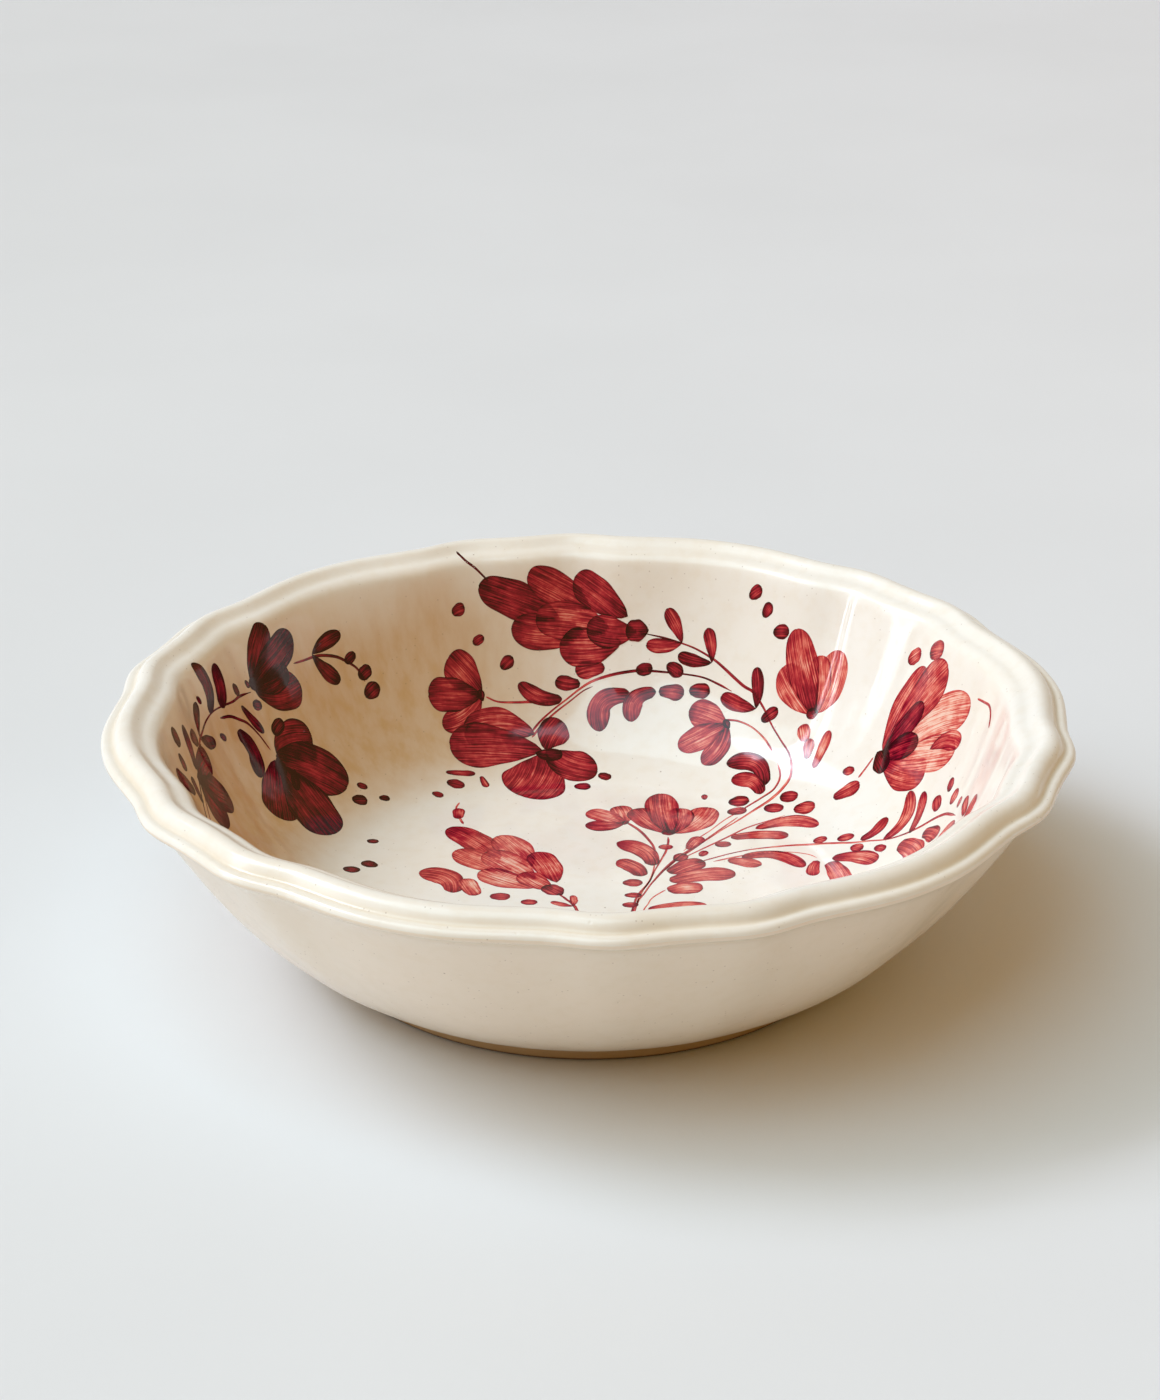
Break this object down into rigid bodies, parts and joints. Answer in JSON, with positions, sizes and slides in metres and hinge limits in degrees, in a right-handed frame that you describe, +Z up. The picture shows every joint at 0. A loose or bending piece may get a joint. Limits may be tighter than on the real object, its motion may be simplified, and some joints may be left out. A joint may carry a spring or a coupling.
{
  "type": "serving bowl",
  "caption": "Round glazed serving bowl with a lobed double-moulded rim, a low foot ring and red brush-painted flower sprays inside.",
  "frame": {"origin": "on the bowl's axis, at the table the foot ring stands on", "axes": "+Z up the bowl's axis, out of its mouth; -Y towards a viewer who sees the painting the right way up"},
  "size_m": [0.3138, 0.315, 0.0843],
  "materials": {
    "clay": "unglazed buff earthenware",
    "inner_glaze": "glossy cream glaze",
    "outer_glaze": "glossy cream glaze",
    "paint": "translucent red pigment fired into the glaze"
  },
  "bodies": {
    "root": {"clay_body": "clay", "foot_ring": "clay", "inner_glaze": "inner_glaze", "outer_glaze": "outer_glaze", "base_glaze": "outer_glaze", "painted_stems": "paint", "painted_left_spray": "paint", "painted_centre_spray": "paint", "painted_back_spray": "paint", "painted_arch_spray": "paint", "painted_well_spray": "paint", "painted_main_spray": "paint", "painted_side_spray": "paint", "painted_right_spray": "paint", "painted_front_left_spray": "paint", "painted_front_right_spray": "paint"}
  },
  "joints": []
}
